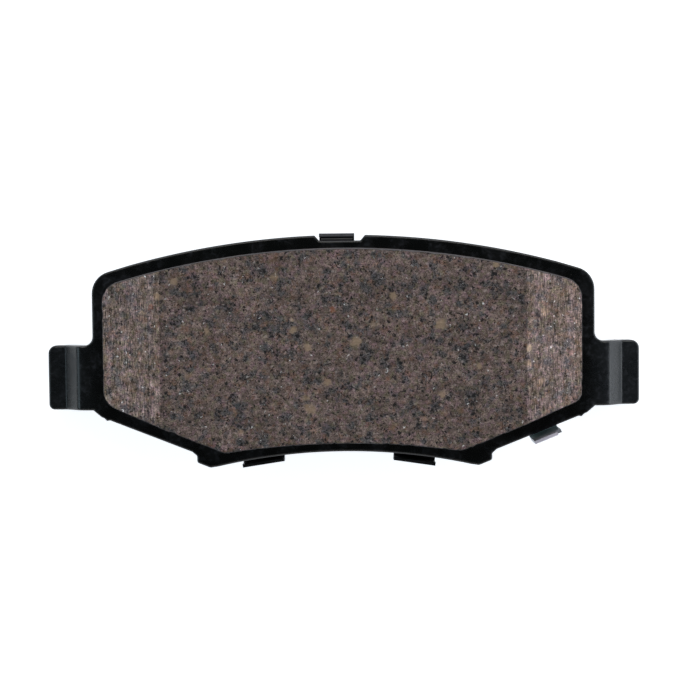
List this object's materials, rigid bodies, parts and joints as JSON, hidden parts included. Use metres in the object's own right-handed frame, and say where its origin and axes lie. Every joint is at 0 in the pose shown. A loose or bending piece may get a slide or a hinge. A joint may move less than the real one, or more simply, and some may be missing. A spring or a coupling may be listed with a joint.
{
  "type": "brake pad",
  "caption": "Disc brake pad: steel backing plate with stepped ears, chamfered friction block, clip-on laminated shim and riveted wear indicator.",
  "frame": {"origin": "on the shim's outer face, which the piston pushes on, on the pad's centreline and level with the middle of the ears", "axes": "+X along the pad to the wear indicator's side, +Y towards the brake disc's outer edge, +Z from the piston face to the friction face"},
  "size_m": [0.145, 0.0571, 0.0182],
  "materials": {
    "plate_coat": "semi-gloss black powder coat over pressed steel",
    "bond_adhesive": "cured phenolic adhesive",
    "underlayer_compound": "dense moulded compound",
    "friction_compound": "ground, speckled brown-grey friction compound",
    "shim_rubber": "thin vulcanised rubber",
    "inner_shim_steel": "cold-rolled sheet",
    "outer_shim_steel": "dark satin coated sheet steel",
    "spring_steel": "bright cold-rolled spring strip",
    "rivet_steel": "zinc-plated"
  },
  "bodies": {
    "pad": {"backing_plate": "plate_coat", "bonding_layer": "bond_adhesive", "underlayer": "underlayer_compound", "friction_block": "friction_compound", "wear_indicator": "spring_steel", "wear_indicator_rivet": "rivet_steel"},
    "shim": {"shim_rubber_coat": "shim_rubber", "inner_shim": "inner_shim_steel", "damping_layer": "shim_rubber", "outer_shim": "outer_shim_steel"}
  },
  "joints": [
    {"name": "shim_float", "type": "slide", "parent": "pad", "child": "shim", "axis": [1, 0, 0], "range_m": [0, 0.0017]}
  ]
}
